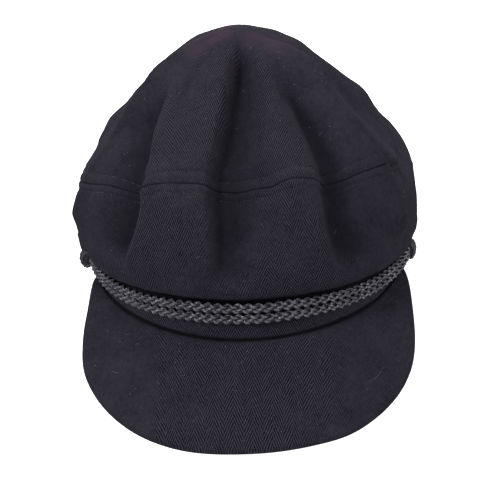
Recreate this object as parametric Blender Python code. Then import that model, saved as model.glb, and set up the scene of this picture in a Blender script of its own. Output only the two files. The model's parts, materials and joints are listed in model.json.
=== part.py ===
"""Fiddler cap: a soft crown in folds over a head band, a short curved peak and a double row of plaited braid.

Every piece is modelled in the band's own frame, in metres: +X is the wearer's left, seen from the front as right,
+Y is the back and +Z is up from the band's lower edge. Angles run round the cap from 0 at the middle of the front,
and grow towards +X. The empty named cap then sets the whole cap down as it rests, on the tip of its peak and on
the back of its band.
"""
import math
from collections import namedtuple

import bmesh
import bpy
import numpy as np

# Head band
BAND_HALF_WIDTH = 0.088
BAND_HALF_LENGTH = 0.103
BAND_HEIGHT = 0.034
BAND_WALL = 0.003

# Cloth walls and the gap between neighbouring pieces
CROWN_WALL = 0.002
CLEARANCE = 0.0003

# Crown
CROWN_HEIGHT = 0.130
CROWN_LEAN = -0.0045
LIP_HEIGHT = 0.0247
LIP_REACH = 0.0050
LIP_ROLL = 0.0030
SIDE_DROOP = 0.014
FOLD_DEPTH = 0.006

# Peak
PEAK_HALF_WIDTH = 0.0895
PEAK_ARC_LENGTH = 0.084
PEAK_REACH = 0.0450
PEAK_DROP = 0.0425
PEAK_WALL = 0.003
PEAK_BULGE = 0.003
PEAK_END = 0.0020
PEAK_SEAT = 0.0025

# Where the cap rests
REST_FLAT = 0.001
REST_RIM = 0.003
REST_TURN = 48.0

# Braid and its knots
BRAID_HEIGHT = 0.0163
BRAID_FLAT_TURN = 15.0
BRAID_SPACING = 0.0067
BRAID_WIDTH = 0.0062
BRAID_THICKNESS = 0.0040
BRAID_SINK = 0.0054
BRAID_TAPER = 0.60
KNOT_TURN = 79.0
KNOT_HALF_WIDTH = 0.0038
KNOT_HALF_HEIGHT = 0.0050
KNOT_THICKNESS = 0.0066

# Steps of the meshes
FRONT_STEP = 4.0
BACK_STEP = 6.0
SIDE_ROWS = 9
TOP_ROWS = 11
PEAK_COLUMNS = 40
PEAK_ROWS = 7
BRAID_STATIONS = 44
BRAID_SIDES = 10
BAND_STEP = 5.0
KNOT_SIDES = 12
SEAM_GAP = 0.001
APEX_RING = 0.985
PEAK_FLAT_TURN = 60.0
NEAR = 1e-6

# Sections of the crown, from its belly to its apex: the height is a share of CROWN_HEIGHT, the half width of
# BAND_HALF_WIDTH, and the front and back reach of BAND_HALF_LENGTH
Section = namedtuple("Section", "place height half_width front back")
SECTIONS = (
    Section("belly", 0.32, 1.070, 1.040, 1.060),
    Section("side", 0.46, 1.050, 0.960, 1.030),
    Section("seam", 0.60, 0.985, 0.820, 0.940),
    Section("shoulder", 0.70, 0.840, 0.660, 0.800),
    Section("slope", 0.82, 0.625, 0.420, 0.620),
    Section("crest", 0.93, 0.350, 0.160, 0.420),
    Section("apex", 1.00, 0.000, -0.140, 0.140),
)

# How far the crown hangs down round its lip and round its seam, as shares of SIDE_DROOP
Droop = namedtuple("Droop", "angle lip seam")
DROOPS = (
    Droop(-180, 0.15, 0.30),
    Droop(-140, 0.45, 0.80),
    Droop(-102, 0.90, 1.30),
    Droop(-88, 0.66, 1.42),
    Droop(-79, 0.44, 1.45),
    Droop(-70, 0.56, 1.32),
    Droop(-55, 0.44, 0.90),
    Droop(-35, 0.17, 0.35),
    Droop(-20, 0.05, -0.10),
    Droop(0, 0.00, 0.08),
    Droop(20, 0.05, -0.12),
    Droop(35, 0.18, 0.20),
    Droop(55, 0.38, 0.50),
    Droop(70, 0.54, 0.80),
    Droop(79, 0.44, 1.00),
    Droop(88, 0.66, 1.05),
    Droop(102, 0.90, 1.00),
    Droop(140, 0.45, 0.70),
)

# Folds of the crown: the angle at its foot and at its head, its depth as a share of FOLD_DEPTH (a ridge is above
# zero, a valley below), its reach to the left and to the right in degrees, and where it starts and ends, as
# shares of the way from the lip to the apex
Fold = namedtuple("Fold", "place foot head depth left right start end")
FOLDS = (
    Fold("left side dent", -97, -97, -0.80, 18, 14, 0.05, 0.58),
    Fold("left shoulder ridge", -74, -86, 0.65, 15, 9, 0.08, 0.95),
    Fold("left valley", -46, -54, -0.80, 10, 7, 0.06, 0.80),
    Fold("left ridge", -33, -44, 0.55, 5, 16, 0.08, 0.85),
    Fold("middle valley", -5, 2, -0.75, 6, 14, 0.08, 0.95),
    Fold("right ridge", 24, 24, 0.60, 13, 5, 0.08, 0.85),
    Fold("right valley", 36, 38, -0.90, 5, 12, 0.06, 0.80),
    Fold("right shoulder ridge", 63, 70, 0.50, 9, 8, 0.06, 0.85),
    Fold("right side dent", 92, 94, -1.10, 14, 18, 0.22, 0.72),
    Fold("right back ridge", 114, 118, 0.45, 12, 12, 0.08, 0.80),
    Fold("right back valley", 135, 132, -0.70, 10, 9, 0.08, 0.78),
    Fold("back ridge", 158, 150, 0.50, 14, 12, 0.08, 0.80),
    Fold("back valley", -178, -170, -0.70, 10, 12, 0.08, 0.80),
    Fold("left back ridge", -148, -140, 0.50, 12, 12, 0.08, 0.80),
    Fold("left back valley", -124, -128, -0.60, 9, 11, 0.08, 0.78),
)

# A knot's rings: how far out each lies, as a share of KNOT_THICKNESS, and its size as a share of the widest
KNOT_PROFILE = ((0.0, 0.80), (0.25, 1.00), (0.60, 1.00), (0.85, 0.78), (1.0, 0.42))


def curve_through(stations, values, at):
    """Values at the asked stations, on a smooth curve through the given ones."""
    stations = np.asarray(stations, float)
    values = np.asarray(values, float)
    slopes = np.gradient(values, stations)
    k = np.clip(np.searchsorted(stations, at, side="right") - 1, 0, len(stations) - 2)
    span = stations[k + 1] - stations[k]
    t = (at - stations[k]) / span
    start = values[k] * (2 * t**3 - 3 * t**2 + 1) + slopes[k] * span * (t**3 - 2 * t**2 + t)
    end = values[k + 1] * (3 * t**2 - 2 * t**3) + slopes[k + 1] * span * (t**3 - t**2)
    return start + end


def around(table, column, angle):
    """A column of a table of angles, on a smooth closed curve round the cap."""
    rows = [(row.angle + turn, getattr(row, column)) for turn in (-360, 0, 360) for row in table]
    stations, values = zip(*rows)
    turned = (np.asarray(angle, float) + 180) % 360 - 180
    return curve_through(stations, values, turned)


def smooth_step(x):
    x = np.clip(x, 0, 1)
    return x * x * (3 - 2 * x)


def profile_rows():
    """Height, half width, front and back of each section of the crown, from the rim under its lip to its apex."""
    rows = []
    for height, out in ((0.25, 0.0), (0.0, 0.45), (0.45, 0.90), (1.5, 1.05)):
        reach = CLEARANCE + out * LIP_REACH
        ring = (BAND_HALF_WIDTH + reach, BAND_HALF_LENGTH + reach, BAND_HALF_LENGTH + reach)
        rows.append((LIP_HEIGHT + height * LIP_ROLL, *ring))
    for section in SECTIONS:
        across = section.half_width * BAND_HALF_WIDTH
        front = section.front * BAND_HALF_LENGTH
        back = section.back * BAND_HALF_LENGTH
        rows.append((section.height * CROWN_HEIGHT, across, front, back))
    return np.array(rows)


PROFILE = profile_rows()
LIP_ROWS = len(PROFILE) - len(SECTIONS)
SEAM_ROW = LIP_ROWS + [section.place for section in SECTIONS].index("seam")


def profile_stations():
    """How far along the crown each section lies, from 0 at its rim to 1 at its apex."""
    steps = np.hypot(np.diff(PROFILE[:, 0]), np.diff(PROFILE[:, 1]))
    run = np.concatenate(([0.0], np.cumsum(steps)))
    return run / run[-1]


STATIONS = profile_stations()
SEAM_STATION = STATIONS[SEAM_ROW]
LIP_STATION = STATIONS[LIP_ROWS - 1]


def crown_base(angle, station):
    """Points of the crown before its folds."""
    height, across, front, back = (curve_through(STATIONS, PROFILE[:, k], station) for k in range(4))
    turn = np.radians(angle)
    high = smooth_step((station - LIP_STATION) / (SEAM_STATION - LIP_STATION))
    over = smooth_step((station - SEAM_STATION) / (1 - SEAM_STATION))
    droop = around(DROOPS, "lip", angle) * (1 - high) + around(DROOPS, "seam", angle) * high
    height = height - SIDE_DROOP * droop * (1 - over)
    middle = (back - front) / 2
    length = (back + front) / 2
    lean = CROWN_LEAN * np.sqrt(np.clip((station - LIP_STATION) / (1 - LIP_STATION), 0, 1))
    return np.stack([lean + across * np.sin(turn), middle - length * np.cos(turn), height], axis=-1)


def outward(point_at, angle, station):
    """Unit normals of a surface of angle and station, pointing out of the cap."""
    near = 1e-3
    round_way = point_at(angle + 0.5, station) - point_at(angle - 0.5, station)
    up_way = point_at(angle, np.minimum(station + near, 1)) - point_at(angle, np.maximum(station - near, 0))
    normal = np.cross(round_way, up_way)
    return normal / np.maximum(np.linalg.norm(normal, axis=-1, keepdims=True), 1e-12)


def fold_height(angle, station):
    """How far the folds raise or sink the crown's cloth."""
    height = np.zeros(np.broadcast(angle, station).shape)
    for fold in FOLDS:
        along = np.clip((station - fold.start) / (fold.end - fold.start), 0, 1)
        middle = fold.foot + (fold.head - fold.foot) * along
        off = (np.asarray(angle) - middle + 180) % 360 - 180
        reach = np.where(off < 0, fold.left, fold.right)
        height = height + fold.depth * FOLD_DEPTH * np.exp(-((off / reach) ** 2)) * np.sin(math.pi * along) ** 0.7
    return height


def crown_outside(angle, station):
    angle, station = np.broadcast_arrays(np.asarray(angle, float), np.asarray(station, float))
    lift = fold_height(angle, station)[..., None]
    return crown_base(angle, station) + outward(crown_base, angle, station) * lift


def crown_wall(stations, seam_row):
    """Outside and inside points of a stretch of the crown, whose seam row is cut square to the seam."""
    angles, stations = np.meshgrid(ring_angles(), stations)
    outside = crown_outside(angles, stations)
    normal = outward(crown_outside, angles, stations)
    normal[seam_row] = outward(crown_outside, angles[seam_row], np.full(angles.shape[1], SEAM_STATION))
    return outside, outside - normal * CROWN_WALL


def ring_angles():
    """Angles of the crown's columns, closer together round the front."""
    front = np.arange(-90, 90, FRONT_STEP)
    back = np.arange(90, 270, BACK_STEP)
    return np.concatenate([front, back])


def crown_side_walls():
    """Outside and inside points of the crown's side, from the rim under the lip to the crown seam."""
    rims = STATIONS[:LIP_ROWS - 1]
    rows = np.linspace(LIP_STATION, SEAM_STATION - SEAM_GAP, SIDE_ROWS)
    return crown_wall(np.concatenate([rims, rows]), -1)


def crown_top_walls():
    """Outside and inside points of the crown's top, from the crown seam to a small ring round the apex."""
    rows = np.linspace(SEAM_STATION + SEAM_GAP, APEX_RING, TOP_ROWS)
    return crown_wall(rows, 0)


def rest_slope():
    """How much the floor rises towards the back, seen from the band's own frame."""
    return (REST_FLAT + PEAK_DROP) / (2 * BAND_HALF_LENGTH + PEAK_REACH)


def floor_height(y):
    """Height of the floor in the band's frame: it passes under the peak's tip and the back of the band."""
    return REST_FLAT + rest_slope() * (y - BAND_HALF_LENGTH)


def band_ring(reach, height):
    """A ring of points round the band, its outer face moved out by reach."""
    turn = np.radians(np.arange(0, 360, BAND_STEP))
    x = (BAND_HALF_WIDTH + reach) * np.sin(turn)
    y = -(BAND_HALF_LENGTH + reach) * np.cos(turn)
    return np.stack([x, y, np.maximum(height, floor_height(y))], axis=-1)


def band_walls():
    heights = (0.0, BAND_HEIGHT)
    outside = np.array([band_ring(0.0, height) for height in heights])
    inside = np.array([band_ring(-BAND_WALL, height) for height in heights])
    return outside, inside


def peak_edge(angle):
    """The peak's outer edge in plan."""
    turn = np.radians(angle)
    middle = PEAK_ARC_LENGTH - PEAK_REACH - BAND_HALF_LENGTH
    return np.stack([PEAK_HALF_WIDTH * np.sin(turn), middle - PEAK_ARC_LENGTH * np.cos(turn)], axis=-1)


def outside_band(point):
    """How far a plan point lies outside the band, roughly, in metres."""
    share = math.hypot(point[0] / BAND_HALF_WIDTH, point[1] / BAND_HALF_LENGTH)
    return (share - 1) * BAND_HALF_WIDTH


def peak_end_angle():
    """Where the peak's edge comes within PEAK_END of the band, found by halving."""
    low, high = 90.0, 150.0
    for _ in range(40):
        middle = (low + high) / 2
        if outside_band(peak_edge(middle)) > PEAK_END:
            low = middle
        else:
            high = middle
    return low


def peak_shares():
    """Rows of the peak, as shares of the way from the band to its edge, with one where the rim's flat begins."""
    rim = REST_RIM / PEAK_REACH
    return np.concatenate([np.linspace(0, 1 - rim, PEAK_ROWS), [1.0]])


def peak_walls():
    """Upper and under points of the peak, row by row from the band to its edge."""
    end = peak_end_angle()
    tip = peak_edge(end)
    foot_end = math.degrees(math.atan2(tip[0] / BAND_HALF_WIDTH, -tip[1] / BAND_HALF_LENGTH))
    across = np.linspace(-1, 1, PEAK_COLUMNS + 1)
    turn = np.radians(across * foot_end)
    seat_x = (BAND_HALF_WIDTH + CLEARANCE) * np.sin(turn)
    seat_y = -(BAND_HALF_LENGTH + CLEARANCE) * np.cos(turn)
    edge = peak_edge(across * end)
    raised = smooth_step((np.abs(across * end) - PEAK_FLAT_TURN) / (end - PEAK_FLAT_TURN))
    edge_height = floor_height(edge[:, 1]) * (1 - raised)
    length = np.hypot(edge[:, 0] - seat_x, edge[:, 1] - seat_y)
    upper = []
    under = []
    for out in peak_shares():
        x = seat_x + (edge[:, 0] - seat_x) * out
        y = seat_y + (edge[:, 1] - seat_y) * out
        bulge = PEAK_BULGE * 4 * out * (1 - out) * np.minimum(1, length / PEAK_REACH)
        below = (PEAK_SEAT - PEAK_WALL) * (1 - out) + edge_height * out + bulge
        upper.append(np.stack([x, y, below + PEAK_WALL], axis=-1))
        on_rim = float((1 - out) * PEAK_REACH < REST_RIM + NEAR)
        rests = on_rim * (1 - smooth_step((np.abs(across * end) - REST_TURN) / (PEAK_FLAT_TURN - REST_TURN)))
        under.append(np.stack([x, y, below + (floor_height(y) - below) * rests], axis=-1))
    return np.array(upper), np.array(under)


def braid_height(angle):
    """Height of the line between the two rows of braid."""
    return BRAID_HEIGHT - BRAID_SINK * smooth_step((np.abs(angle) - BRAID_FLAT_TURN) / (KNOT_TURN - BRAID_FLAT_TURN))


def braid_end_turn():
    """Angle at which a row of braid ends, just clear of its knot."""
    return KNOT_TURN - math.degrees((KNOT_HALF_WIDTH + 2 * CLEARANCE) / BAND_HALF_WIDTH)


def braid_point(angle, side):
    """Centre of a row of braid on the band: side is 1 for the upper row and -1 for the lower one."""
    turn = math.radians(angle)
    out = CLEARANCE + BRAID_THICKNESS / 2
    toward_knot = (abs(angle) - BRAID_FLAT_TURN) / (KNOT_TURN - BRAID_FLAT_TURN)
    narrow = 1 - (1 - BRAID_TAPER) * float(smooth_step(toward_knot))
    height = float(braid_height(angle)) + side * BRAID_SPACING / 2 * narrow
    x = (BAND_HALF_WIDTH + out) * math.sin(turn)
    y = -(BAND_HALF_LENGTH + out) * math.cos(turn)
    return np.array([x, y, height]), narrow


def band_outward(angle):
    """Unit direction that points straight out of the band at an angle."""
    turn = math.radians(angle)
    direction = np.array([BAND_HALF_LENGTH * math.sin(turn), -BAND_HALF_WIDTH * math.cos(turn), 0.0])
    return direction / np.linalg.norm(direction)


def braid_rings(side):
    """Oval rings along a row of braid."""
    rings = []
    end = braid_end_turn()
    for angle in np.linspace(-end, end, BRAID_STATIONS):
        centre, narrow = braid_point(angle, side)
        around_row = np.radians(np.arange(BRAID_SIDES) * 360 / BRAID_SIDES)
        out = np.outer(np.cos(around_row) * BRAID_THICKNESS / 2, band_outward(angle))
        up = np.outer(np.sin(around_row) * BRAID_WIDTH / 2 * narrow, [0, 0, 1])
        rings.append(centre + out + up)
    return np.array(rings)


def knot_rings(angle):
    """Rings of a knot's rounded button, from the band outwards."""
    out_way = band_outward(angle)
    along = np.cross([0, 0, 1], out_way)
    turn = math.radians(angle)
    seat = np.array([BAND_HALF_WIDTH * math.sin(turn), -BAND_HALF_LENGTH * math.cos(turn), 0.0])
    seat[2] = float(braid_height(angle))
    rings = []
    for out, share in KNOT_PROFILE:
        around_knot = np.radians(np.arange(KNOT_SIDES) * 360 / KNOT_SIDES)
        wide = np.outer(np.cos(around_knot) * KNOT_HALF_WIDTH * share, along)
        high = np.outer(np.sin(around_knot) * KNOT_HALF_HEIGHT * share, [0, 0, 1])
        rings.append(seat + out_way * (CLEARANCE + out * KNOT_THICKNESS) + wide + high)
    return np.array(rings)


def cloth(name, colour, roughness):
    """A plain material of one cloth or yarn."""
    material = bpy.data.materials.new(name)
    material.use_nodes = True
    shader = material.node_tree.nodes["Principled BSDF"]
    shader.inputs["Base Color"].default_value = (*colour, 1)
    shader.inputs["Roughness"].default_value = roughness
    shader.inputs["Metallic"].default_value = 0
    return material


def strips(rows, columns, wraps):
    """Quads between neighbouring rows and columns of a grid of points."""
    last = columns if wraps else columns - 1
    for row in range(rows - 1):
        for column in range(last):
            after = (column + 1) % columns
            yield row * columns + column, row * columns + after, (row + 1) * columns + after, (row + 1) * columns + column


def add_piece(name, points, faces, material, parent):
    """An object from its points and faces, with every face turned outwards."""
    mesh = bpy.data.meshes.new(name)
    mesh.from_pydata([tuple(point) for point in points], [], faces)
    shape = bmesh.new()
    shape.from_mesh(mesh)
    bmesh.ops.recalc_face_normals(shape, faces=shape.faces)
    shape.to_mesh(mesh)
    shape.free()
    mesh.shade_smooth()
    mesh.set_sharp_from_angle(angle=math.radians(50))
    mesh.materials.append(material)
    piece = bpy.data.objects.new(name, mesh)
    piece.parent = parent
    bpy.context.collection.objects.link(piece)
    return piece


def add_wall(name, outside, inside, material, parent, wraps=True, poles=None):
    """A closed wall between two grids of points; poles are the outside and inside points that close its top."""
    rows, columns, _ = outside.shape
    count = rows * columns
    points = np.concatenate([outside.reshape(-1, 3), inside.reshape(-1, 3)])
    faces = [quad for quad in strips(rows, columns, wraps)]
    faces += [tuple(corner + count for corner in reversed(quad)) for quad in strips(rows, columns, wraps)]
    loop = list(range(columns)) + ([0] if wraps else [])
    foot = list(zip(loop, loop[1:]))
    faces += [(a + count, b + count, b, a) for a, b in foot]
    head = [(a + count - columns, b + count - columns) for a, b in foot]
    if poles is None:
        faces += [(a, b, b + count, a + count) for a, b in head]
    else:
        points = np.concatenate([points, poles])
        faces += [(a, b, 2 * count) for a, b in head]
        faces += [(b + count, a + count, 2 * count + 1) for a, b in head]
    if not wraps:
        for edge in (0, columns - 1):
            line = [row * columns + edge for row in range(rows)]
            faces += [(a, b, b + count, a + count) for a, b in zip(line, line[1:])]
    return add_piece(name, points, faces, material, parent)


def add_rod(name, rings, material, parent):
    """A solid through a run of rings, closed by a face at each end."""
    rows, columns, _ = rings.shape
    faces = [quad for quad in strips(rows, columns, True)]
    faces.append(tuple(reversed(range(columns))))
    faces.append(tuple(range((rows - 1) * columns, rows * columns)))
    return add_piece(name, rings.reshape(-1, 3), faces, material, parent)


def crown_poles():
    """The crown's highest point, outside and inside."""
    apex = crown_base(0.0, 1.0)
    return np.array([apex, apex - [0, 0, CROWN_WALL]])


def set_down(cap, pieces):
    """Tilts the cap on to its peak and the back of its band, with the middle of its foot at the origin."""
    tilt = math.atan(rest_slope())
    cap.rotation_euler.x = -tilt
    turned = []
    for piece in pieces:
        points = np.array([vertex.co for vertex in piece.data.vertices])
        y = points[:, 1] * math.cos(tilt) + points[:, 2] * math.sin(tilt)
        z = points[:, 2] * math.cos(tilt) - points[:, 1] * math.sin(tilt)
        turned.append(np.stack([points[:, 0], y, z], axis=-1))
    turned = np.concatenate(turned)
    low = turned.min(axis=0)
    high = turned.max(axis=0)
    cap.location = (-(low[0] + high[0]) / 2, -(low[1] + high[1]) / 2, -low[2])


def build():
    for piece in list(bpy.data.objects):
        bpy.data.objects.remove(piece)
    cap = bpy.data.objects.new("cap", None)
    bpy.context.collection.objects.link(cap)
    twill = cloth("herringbone_cloth", (0.024, 0.023, 0.030), 0.9)
    yarn = cloth("braid_yarn", (0.035, 0.034, 0.042), 0.6)
    pieces = [
        add_wall("band", *band_walls(), twill, cap),
        add_wall("peak", *peak_walls(), twill, cap, wraps=False),
        add_wall("crown_side", *crown_side_walls(), twill, cap),
        add_wall("crown_top", *crown_top_walls(), twill, cap, poles=crown_poles()),
        add_rod("braid_upper", braid_rings(1), yarn, cap),
        add_rod("braid_lower", braid_rings(-1), yarn, cap),
        add_rod("knot_left", knot_rings(-KNOT_TURN), yarn, cap),
        add_rod("knot_right", knot_rings(KNOT_TURN), yarn, cap),
    ]
    set_down(cap, pieces)


build()
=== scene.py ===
"""Looks of the fiddler cap: herringbone cloth in folds, seams, plaited braid, wrapped knots and lint.

Shapes are worked out in the band's own frame, in metres, as the solids are: +X is right seen from the front,
+Y is the back and +Z is up from the band's lower edge. Angles run round the cap from 0 at the middle of the
front, and grow towards +X. A Stand then carries points from there to the resting cap's place in the frame.
"""

import json
import math
from collections import namedtuple

import bmesh
import bpy
import numpy as np
from mathutils import Matrix


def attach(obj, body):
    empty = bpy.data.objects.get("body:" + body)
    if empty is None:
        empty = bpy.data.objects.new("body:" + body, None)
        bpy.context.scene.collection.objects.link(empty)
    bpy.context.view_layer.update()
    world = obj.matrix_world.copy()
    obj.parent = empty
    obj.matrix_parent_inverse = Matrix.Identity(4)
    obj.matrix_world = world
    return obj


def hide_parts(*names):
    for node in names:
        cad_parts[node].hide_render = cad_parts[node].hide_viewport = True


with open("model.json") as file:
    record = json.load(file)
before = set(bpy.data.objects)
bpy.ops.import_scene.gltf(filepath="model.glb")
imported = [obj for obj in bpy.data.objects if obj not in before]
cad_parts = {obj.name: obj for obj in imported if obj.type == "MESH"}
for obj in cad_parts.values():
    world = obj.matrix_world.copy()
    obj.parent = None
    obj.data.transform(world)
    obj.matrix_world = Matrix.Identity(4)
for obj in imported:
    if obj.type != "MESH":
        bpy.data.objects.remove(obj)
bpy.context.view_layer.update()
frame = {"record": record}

# Sizes of the solids and of what dresses them, in metres, and turns in degrees
BAND_HALF_WIDTH = 0.088
BAND_HALF_LENGTH = 0.103
BAND_HEIGHT = 0.034
BAND_WALL = 0.003
CROWN_WALL = 0.002
CLEARANCE = 0.0003
CROWN_HEIGHT = 0.130
CROWN_LEAN = -0.0045
LIP_HEIGHT = 0.0247
LIP_REACH = 0.0050
LIP_ROLL = 0.0030
SIDE_DROOP = 0.014
FOLD_DEPTH = 0.006
PEAK_HALF_WIDTH = 0.0895
PEAK_ARC_LENGTH = 0.084
PEAK_REACH = 0.0450
PEAK_DROP = 0.0425
PEAK_WALL = 0.003
PEAK_BULGE = 0.003
PEAK_END = 0.0020
PEAK_SEAT = 0.0025
PEAK_FLAT_TURN = 60.0
PEAK_RISE_TURN = 72.0
PEAK_RISE_LEFT = 0.0016
PEAK_RISE_RIGHT = 0.0038
FRONT_DIP = 0.0017
FRONT_DIP_TURN = 60.0
PEAK_TUCK = 0.0006
PEAK_GROOVE = 0.0014
PEAK_GROOVE_WIDTH = 0.0013
PEAK_GROOVE_RISE = 0.0004
HEM_SHADE_RISE = 0.0022
REST_FLAT = 0.001
BRAID_HEIGHT = 0.0161
BRAID_FLAT_TURN = 15.0
BRAID_SPACING = 0.0062
BRAID_WIDTH = 0.0058
BRAID_THICKNESS = 0.0040
BRAID_SINK = 0.0054
BRAID_TAPER = 0.60
BRAID_HASTE = 0.65
BRAID_PERIOD = 0.0212
BRAID_STRANDS = 4
STRAND_FILL = 0.54
STRAND_FLATNESS = 0.55
SWING_SHARPNESS = 0.985
KNOT_TURN = 79.0
KNOT_HALF_WIDTH = 0.0038
KNOT_LIFT = 0.0012
KNOT_COIL_STEP = 0.0024
KNOT_COIL_HEIGHT = 0.0046
KNOT_END_SIZE = 0.86
KNOT_STRAND = 0.00072
KNOT_CORE_INSET = 0.0003

# The two knots: how far each stands out from the band, and how far it hangs below the braid's line
Knot = namedtuple("Knot", "side angle reach sag")
KNOTS = (
    Knot("left", -KNOT_TURN, 0.0031, 0.0022),
    Knot("right", KNOT_TURN, 0.0017, 0.0008),
)

# Fineness of the meshes
CROWN_COLUMNS = 480
CROWN_ROW_STEP = 0.0022
BAND_COLUMNS = 360
PEAK_COLUMNS = 300
PEAK_ROWS = 56
BRAID_STEP = 0.0005
STRAND_SIDES = 12

# The view: elevation over the band's plane and turn about its upright, in degrees, roll, distance in metres,
# and the focal length and principal point in the photograph's pixels
VIEW_ELEVATION = 26.4
VIEW_TURN = 3.46
VIEW_ROLL = 2.675
VIEW_DISTANCE = 1.25
FOCAL_PIXELS = 2212.3
PICTURE_PIXELS = 490
PRINCIPAL_PIXEL = 251.8

# Sections of the crown, as in the solids: shares of its height and of the band's half width and length
Section = namedtuple("Section", "place height half_width front back")
SECTIONS = (
    Section("belly", 0.32, 1.070, 1.040, 1.060),
    Section("side", 0.46, 1.050, 0.960, 1.030),
    Section("seam", 0.60, 0.985, 0.820, 0.940),
    Section("shoulder", 0.70, 0.840, 0.660, 0.800),
    Section("slope", 0.82, 0.625, 0.420, 0.620),
    Section("crest", 0.93, 0.350, 0.160, 0.420),
    Section("apex", 1.00, 0.000, -0.140, 0.140),
)

# How far the crown hangs down round its lip and its seam, as shares of SIDE_DROOP
Droop = namedtuple("Droop", "angle lip seam")
DROOPS = (
    Droop(-180, 0.15, 0.30),
    Droop(-140, 0.45, 0.80),
    Droop(-102, 0.90, 1.30),
    Droop(-88, 0.66, 1.42),
    Droop(-79, 0.44, 1.45),
    Droop(-70, 0.56, 1.32),
    Droop(-55, 0.44, 0.90),
    Droop(-35, 0.17, 0.35),
    Droop(-20, 0.05, -0.10),
    Droop(0, 0.00, 0.08),
    Droop(20, 0.05, -0.12),
    Droop(35, 0.18, 0.20),
    Droop(55, 0.38, 0.50),
    Droop(70, 0.54, 0.80),
    Droop(79, 0.44, 1.00),
    Droop(88, 0.66, 1.05),
    Droop(102, 0.90, 1.00),
    Droop(140, 0.45, 0.70),
)

# How far the peak's cloth edge stands out from its board, round the peak
Swell = namedtuple("Swell", "angle swell")
PEAK_SWELLS = (
    Swell(-180, 0.0000),
    Swell(-110, 0.0000),
    Swell(-92, -0.0022),
    Swell(-84, 0.0000),
    Swell(-75, 0.0024),
    Swell(-62, 0.0013),
    Swell(-50, 0.0020),
    Swell(-36, 0.0032),
    Swell(-22, 0.0034),
    Swell(0, 0.0014),
    Swell(22, 0.0023),
    Swell(36, 0.0042),
    Swell(50, 0.0031),
    Swell(62, 0.0020),
    Swell(75, 0.0028),
    Swell(92, -0.0004),
    Swell(110, 0.0000),
)

# Folds: angle at the foot and at the head, depth as a share of FOLD_DEPTH, reach to the left and right in
# degrees, and start and end as shares of the way from the lip to the apex
Fold = namedtuple("Fold", "place foot head depth left right start end")
FOLDS = (
    Fold("left side dent", -97, -97, -0.75, 18, 14, 0.05, 0.58),
    Fold("left shoulder ridge", -74, -84, 0.55, 16, 9, 0.08, 0.95),
    Fold("right shoulder ridge", 63, 70, 0.50, 9, 8, 0.06, 0.88),
    Fold("right side dent", 92, 94, -1.05, 14, 18, 0.22, 0.74),
    Fold("right back ridge", 114, 118, 0.45, 12, 8, 0.08, 0.80),
    Fold("right back valley", 135, 132, -0.70, 8, 9, 0.08, 0.78),
    Fold("back ridge", 158, 150, 0.50, 14, 7, 0.08, 0.80),
    Fold("back valley", -178, -170, -0.70, 6, 12, 0.08, 0.80),
    Fold("left back ridge", -148, -140, 0.50, 12, 12, 0.08, 0.80),
    Fold("left back valley", -124, -128, -0.60, 9, 6, 0.08, 0.78),
)

# Creases of the front: depth in metres, reach to the left and right in metres at the seam, how sharp each
# side falls off (1 is a sharp edge, 2 a soft one), the stations where it fades in and out, and its path of
# stations and angles
Crease = namedtuple("Crease", "place depth left right left_fall right_fall start end path")
CREASES = (
    Crease("left valley", -0.0108, 0.020, 0.0042, 2, 2, 0.08, 0.74,
           ((0.05, -44), (0.15, -42), (0.22, -39), (0.38, -39), (0.47, -42), (0.60, -50), (0.75, -58))),
    Crease("left ridge", 0.0012, 0.0015, 0.016, 1.3, 2, 0.05, 0.68,
           ((0.05, -41), (0.15, -39), (0.22, -36), (0.38, -36), (0.47, -39), (0.60, -47), (0.75, -54))),
    Crease("middle ridge", 0.0012, 0.015, 0.0026, 2, 1.4, 0.08, 0.80,
           ((0.05, -10), (0.25, -10), (0.38, -10), (0.45, -10), (0.55, -8.5), (0.73, -5))),
    Crease("middle valley", -0.0078, 0.0054, 0.015, 2, 2, 0.05, 0.99,
           ((0.05, -6), (0.25, -5), (0.39, -5), (0.47, -4), (0.575, -2), (0.73, 2), (0.87, 10), (0.96, 22))),
    Crease("middle hollow", -0.0028, 0.013, 0.013, 2, 2, 0.16, 0.94,
           ((0.05, 0), (0.25, 2), (0.37, 6), (0.46, 7), (0.62, 9), (0.76, 10), (0.98, 14))),
    Crease("right ridge", 0.0014, 0.014, 0.0020, 2, 1.3, 0.05, 0.68,
           ((0.05, 33), (0.15, 31.5), (0.23, 29.5), (0.37, 30.5), (0.45, 29.5), (0.62, 24.5), (0.75, 22))),
    Crease("right valley", -0.0084, 0.0080, 0.015, 2, 2, 0.06, 0.78,
           ((0.05, 38), (0.15, 36.5), (0.23, 35), (0.37, 36.5), (0.45, 37.5), (0.62, 40), (0.75, 43))),
    Crease("right crease", 0.0050, 0.010, 0.0025, 1.3, 1.2, 0.08, 0.92,
           ((0.05, 63), (0.19, 62), (0.26, 61), (0.33, 59.5), (0.42, 58), (0.51, 58.5), (0.62, 62),
            (0.75, 74))),
    Crease("beside the right crease", -0.0034, 0.0036, 0.012, 2, 2, 0.24, 0.92,
           ((0.30, 66), (0.42, 65), (0.51, 65.5), (0.62, 69), (0.75, 80))),
    Crease("left crease", 0.0032, 0.0055, 0.0050, 1.2, 1.2, 0.08, 0.85,
           ((0.05, -76), (0.25, -73), (0.32, -69), (0.39, -69), (0.48, -70), (0.66, -78), (0.75, -84))),
    Crease("upper left dip", -0.0016, 0.007, 0.006, 2, 2, 0.50, 0.90,
           ((0.45, -28), (0.60, -31), (0.90, -42))),
    Crease("upper right dip", -0.0014, 0.006, 0.008, 2, 2, 0.55, 0.92,
           ((0.55, 32), (0.70, 36), (0.92, 46))),
)

# How long a crease takes to fade in, how deep a crease must sink for its painted shade to be full, and how
# dark the painted shade is in creases and at joints
CREASE_FADE = 0.11
PAINTED_SHADE_DEPTH = 0.0085
PAINTED_SHADE_STRENGTH = 0.62
PAINTED_JOINT_SHADE = 1.5

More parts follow.
